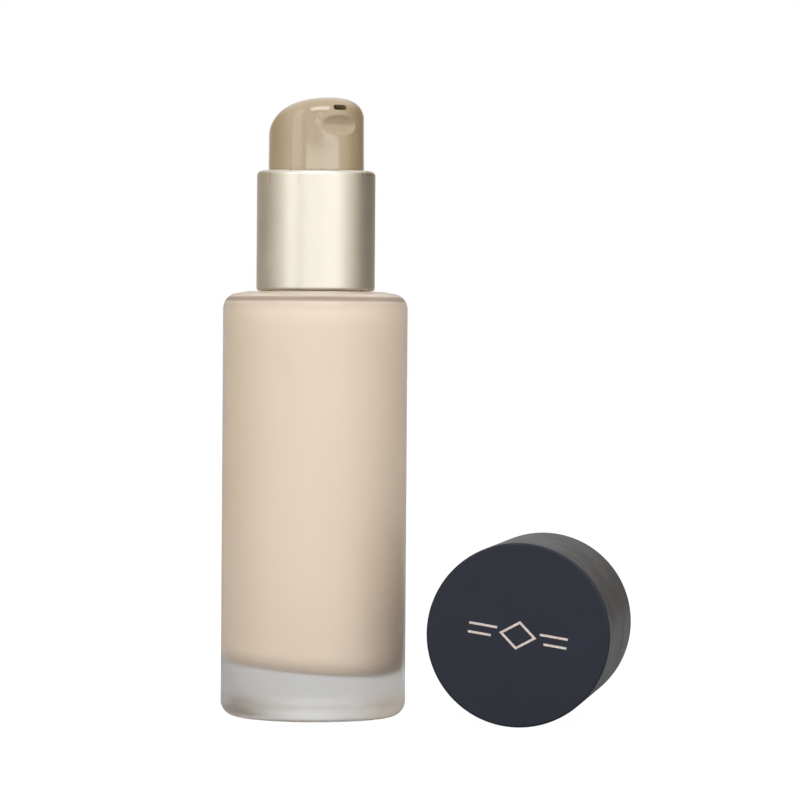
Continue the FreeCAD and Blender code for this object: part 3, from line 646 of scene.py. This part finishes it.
# %% Foil ornament
FOIL_THICK = 0.03 * MM
FOIL_STROKE = 0.42 * MM
LOZENGE = (3.4 * MM, 2.6 * MM)
LINE_GAP = 1.6 * MM
LINE_END = 9.0 * MM
FOIL_TURN = radians(-9)

bpy.ops.mesh.primitive_circle_add(vertices=4, radius=1, fill_type="NGON")
ornament = start_piece("cap_ornament")
bpy.ops.mesh.select_all(action="SELECT")
bpy.ops.transform.resize(value=(LOZENGE[0], LOZENGE[1], 1))
bpy.ops.mesh.inset(thickness=FOIL_STROKE)
bpy.ops.mesh.delete(type="FACE")
for side in (-1, 1):
    for row in (-1, 1):
        start = side * (LOZENGE[0] + 0.5 * MM + (0.9 * MM if row < 0 else 0))
        end = side * LINE_END
        bpy.ops.mesh.primitive_plane_add(size=1, location=((start + end) / 2, row * LINE_GAP / 2, 0))
        bpy.ops.transform.resize(value=(abs(end - start), FOIL_STROKE, 1))
bpy.ops.object.mode_set(mode="OBJECT")
thicken = ornament.modifiers.new("thicken", "SOLIDIFY")
thicken.thickness = 2 * FOIL_THICK
thicken.offset = 0
bpy.ops.object.modifier_apply(modifier=thicken.name)
across = Vector((0, 0, 1)).cross(cap_out)
upright = Matrix((across, Vector((0, 0, 1)), cap_out)).transposed().to_4x4()
ornament.matrix_world = (Matrix.Translation(face_centre) @ upright
                         @ Matrix.Rotation(FOIL_TURN, 4, "Z"))
bpy.ops.object.mode_set(mode="EDIT")
end_piece(ornament, "cap", "champagne_metal", make_foil())

# %% [markdown]
# ## Pieces inside
# The pump's inner pieces are moulded in natural and white plastic, with rubber seals and a
# steel spring and ball. They show where a piece is taken off or lifted, so each has a finish.

# %% Inner finishes
def make_moulded(name, dark, light, roughness, translucency=0.0):
    """Moulded plastic or rubber: a faint cloudiness in its colour and a fine mould grain."""
    material, output = new_material(name)
    tree = material.node_tree
    shader = add_node(tree, "ShaderNodeBsdfPrincipled", Transmission_Weight=translucency)
    clouds = grain(tree, 350, 3)
    colour = blend_colours(tree, spread(tree, clouds.outputs[0], 0, 1), dark, light)
    tree.links.new(colour, shader.inputs["Base Color"])
    tree.links.new(spread(tree, clouds.outputs[0], roughness - 0.04, roughness + 0.04),
                   shader.inputs["Roughness"])
    fine = grain(tree, 5000, 2)
    tree.links.new(bumps(tree, fine.outputs[0], 0.005 * MM, 0.4), shader.inputs["Normal"])
    tree.links.new(shader.outputs[0], output.inputs["Surface"])
    return material


def make_steel():
    material, output = new_material("spring steel")
    tree = material.node_tree
    shader = add_node(tree, "ShaderNodeBsdfPrincipled", Metallic=1.0)
    drawn = grain(tree, 2500, 3)
    colour = blend_colours(tree, spread(tree, drawn.outputs[0], 0, 1),
                           (0.52, 0.52, 0.53), (0.66, 0.66, 0.66))
    tree.links.new(colour, shader.inputs["Base Color"])
    tree.links.new(spread(tree, drawn.outputs[0], 0.18, 0.30), shader.inputs["Roughness"])
    tree.links.new(shader.outputs[0], output.inputs["Surface"])
    return material


natural = make_moulded("natural plastic", (0.74, 0.74, 0.71), (0.80, 0.80, 0.77), 0.38, 0.25)
white = make_moulded("white plastic", (0.80, 0.80, 0.78), (0.86, 0.86, 0.85), 0.35)
rubber = make_moulded("gasket rubber", (0.60, 0.60, 0.57), (0.68, 0.68, 0.65), 0.6)
liner = make_moulded("liner plastic", (0.018, 0.018, 0.019), (0.028, 0.028, 0.030), 0.32)
inner_finishes = {
    "natural_plastic": natural,
    "white_plastic": white,
    "gasket_rubber": rubber,
    "spring_steel": make_steel(),
    "liner_plastic": liner,
}
for name, node in frame["nodes"].items():
    slot_name = node.material_slots[0].name
    if slot_name in inner_finishes:
        node.material_slots[0].material = inner_finishes[slot_name]
        print(name, "gets", inner_finishes[slot_name].name)

# %% [markdown]
# ## The spring
# A coil spring shortens as the button goes down. Its foot stays on the housing and its top
# follows the stem; here a copy of it, with its own mesh, is put on the pump's body in its place.

spring = start_copy("spring_coil", "return_spring")
end_piece(spring, "pump", "spring_steel", inner_finishes["spring_steel"], "return_spring")
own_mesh(spring)
